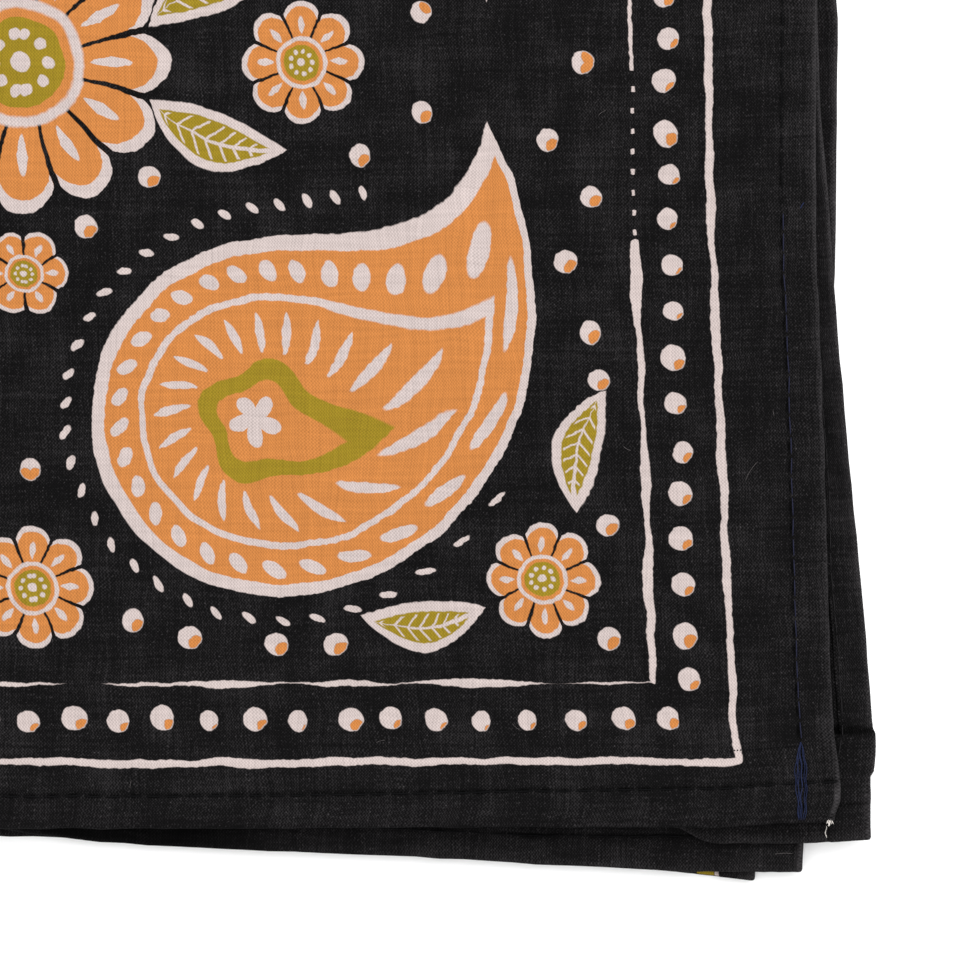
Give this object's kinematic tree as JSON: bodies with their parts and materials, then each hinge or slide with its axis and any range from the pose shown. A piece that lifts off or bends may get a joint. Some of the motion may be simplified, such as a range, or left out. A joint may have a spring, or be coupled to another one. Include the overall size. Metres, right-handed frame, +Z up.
{
  "type": "folded bandana",
  "caption": "Square hemmed cotton bandana folded in half twice and laid flat, with its hemmed corners slightly fanned out at the lower right.",
  "frame": {"origin": "middle of the folded stack's outline, on the surface that it lies on", "axes": "+Z up through the plies, +Y towards the first fold, -X towards the second fold, the open hemmed corners at +X -Y"},
  "size_m": [0.2876, 0.2886, 0.0055],
  "materials": {
    "printed_cotton": "matt plain-weave cotton, printed on a black ground",
    "cotton_reverse": "matt plain-weave cotton, the unprinted side"
  },
  "bodies": {
    "root": {"front_quarter": "printed_cotton", "hidden_quarters": "cotton_reverse", "back_quarter": "cotton_reverse", "side_hem_upper": "printed_cotton", "side_hem_lower": "printed_cotton", "bottom_hem_outer": "printed_cotton", "bottom_hem_inner": "printed_cotton"}
  },
  "joints": []
}
